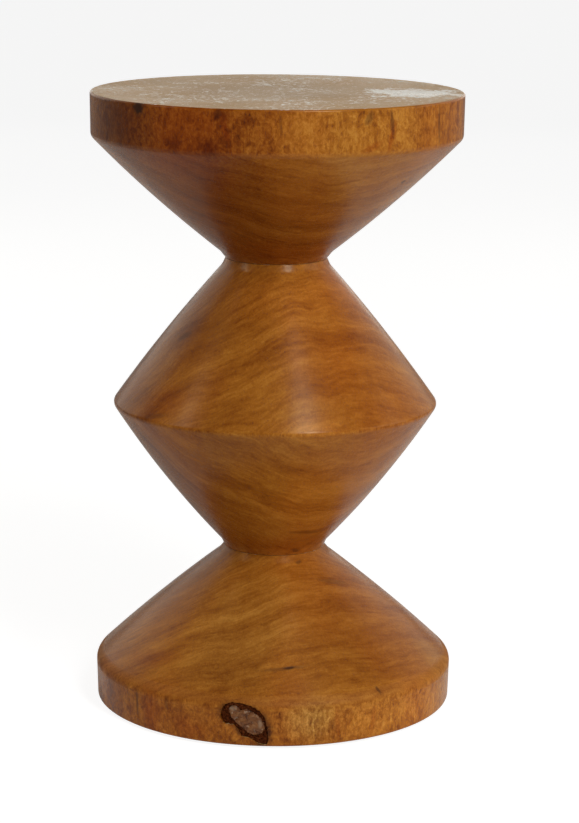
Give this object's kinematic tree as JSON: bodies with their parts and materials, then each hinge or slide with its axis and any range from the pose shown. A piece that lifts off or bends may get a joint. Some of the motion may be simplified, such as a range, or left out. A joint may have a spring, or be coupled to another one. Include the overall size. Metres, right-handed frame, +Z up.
{
  "type": "turned wooden side table",
  "caption": "Low round side table turned from a hardwood log: a thick disc top, a double-cone stem with two narrow necks, and a cone on a disc base.",
  "frame": {"origin": "on the turning axis, on the surface that the table stands on", "axes": "+Z up along the turning axis; -Y is the front, where the knot in the base rim faces; +X to the right"},
  "size_m": [0.3, 0.3, 0.502],
  "materials": {
    "oiled_heartwood": "satin lacquer, golden brown, growth rings cut by the cones into wavy bands",
    "dowel_wood": "plain machined beech, unfinished",
    "knot_wood": "grey brown, glossy under the lacquer",
    "knot_bark": "nearly black, rough",
    "wool_felt": "dark brown pressed felt"
  },
  "bodies": {
    "root": {"top_section": "oiled_heartwood", "middle_section": "oiled_heartwood", "base_section": "oiled_heartwood", "upper_dowel": "dowel_wood", "lower_dowel": "dowel_wood", "knot_core": "knot_wood", "knot_bark": "knot_bark", "foot_pad_1": "wool_felt", "foot_pad_2": "wool_felt", "foot_pad_3": "wool_felt", "foot_pad_4": "wool_felt"}
  },
  "joints": []
}
